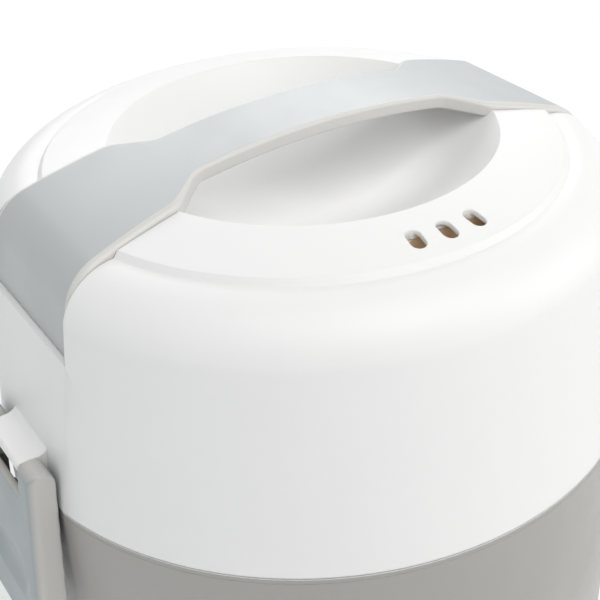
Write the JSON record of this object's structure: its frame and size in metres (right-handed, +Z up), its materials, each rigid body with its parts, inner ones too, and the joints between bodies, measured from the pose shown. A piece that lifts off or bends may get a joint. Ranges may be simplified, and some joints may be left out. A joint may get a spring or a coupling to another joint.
{
  "type": "electric lunch box",
  "caption": "Round electric lunch box with a domed lift-off lid, an arched carry handle, side latches, stacked bowls and a heated base",
  "frame": {"origin": "centre of the bounding box in X and Y, on the plane the feet stand on", "axes": "+Z up; the handle runs along X between the two latches; the steam vents and the button face -Y and the power inlet faces +Y"},
  "size_m": [0.1876, 0.17, 0.2112],
  "materials": {
    "grey_body": "fine satin moulded plastic",
    "grey_cover": "satin moulded plastic",
    "white_lid": "smooth glossy moulded plastic",
    "white_inner": "smooth moulded plastic",
    "handle_plastic": "smooth satin moulded plastic",
    "latch_plastic": "smooth satin moulded plastic",
    "foot_rubber": "soft rubber",
    "seal_rubber": "silicone rubber",
    "steel": "zinc-plated steel",
    "stainless": "brushed stainless steel",
    "aluminium": "die-cast aluminium",
    "circuit_board": "solder-masked laminate",
    "inlet_plastic": "moulded plastic",
    "button_plastic": "smooth moulded plastic",
    "light_lens": "clear tinted plastic",
    "duct_plastic": "moulded plastic",
    "ceramic": "moulded resin"
  },
  "bodies": {
    "base": {"body_shell": "grey_body", "inner_tub": "white_inner", "bottom_cover": "grey_cover", "foot_1": "foot_rubber", "foot_2": "foot_rubber", "foot_3": "foot_rubber", "foot_4": "foot_rubber", "base_screw_1": "steel", "base_screw_2": "steel", "base_screw_3": "steel", "base_screw_4": "steel", "heating_pan": "stainless", "pan_seal": "seal_rubber", "heating_plate": "aluminium", "heater_bracket": "aluminium", "bracket_screw_1": "steel", "bracket_screw_2": "steel", "thermostat": "ceramic", "thermal_fuse": "ceramic", "control_board": "circuit_board", "power_inlet": "inlet_plastic", "button_bezel": "button_plastic", "pilot_light": "light_lens"},
    "button": {"power_button": "button_plastic"},
    "bowl_lower": {"lower_bowl": "stainless"},
    "bowl_upper": {"upper_bowl": "stainless"},
    "lid": {"lid_shell": "white_lid", "lid_liner": "white_inner", "lid_seal": "seal_rubber", "vent_duct": "duct_plastic", "liner_screw_1": "steel", "liner_screw_2": "steel", "liner_screw_3": "steel", "liner_screw_4": "steel", "handle": "handle_plastic", "handle_screw_1": "steel", "handle_screw_2": "steel", "handle_screw_3": "steel", "handle_screw_4": "steel", "latch_pin_left": "steel", "latch_pin_right": "steel"},
    "left_latch": {"latch_left": "latch_plastic"},
    "right_latch": {"latch_right": "latch_plastic"}
  },
  "joints": [
    {"name": "lower_bowl_lift", "type": "slide", "parent": "base", "child": "bowl_lower", "axis": [0, 0, 1], "range_m": [0, 0.11]},
    {"name": "upper_bowl_lift", "type": "slide", "parent": "bowl_lower", "child": "bowl_upper", "axis": [0, 0, 1], "range_m": [0, 0.08]},
    {"name": "lid_lift", "type": "slide", "parent": "bowl_upper", "child": "lid", "axis": [0, 0, 1], "range_m": [0, 0.09]},
    {"name": "left_latch_hinge", "type": "hinge", "parent": "lid", "child": "left_latch", "pos_m": [-0.0864, 0, 0.1439], "axis": [0, 1, 0], "range_deg": [0, 100]},
    {"name": "right_latch_hinge", "type": "hinge", "parent": "lid", "child": "right_latch", "pos_m": [0.0864, 0, 0.1439], "axis": [0, -1, 0], "range_deg": [0, 100]},
    {"name": "button_press", "type": "slide", "parent": "base", "child": "button", "axis": [0, 1, 0], "range_m": [0, 0.0015], "stiffness_N_per_m": 400, "springref_m": -0.002}
  ]
}
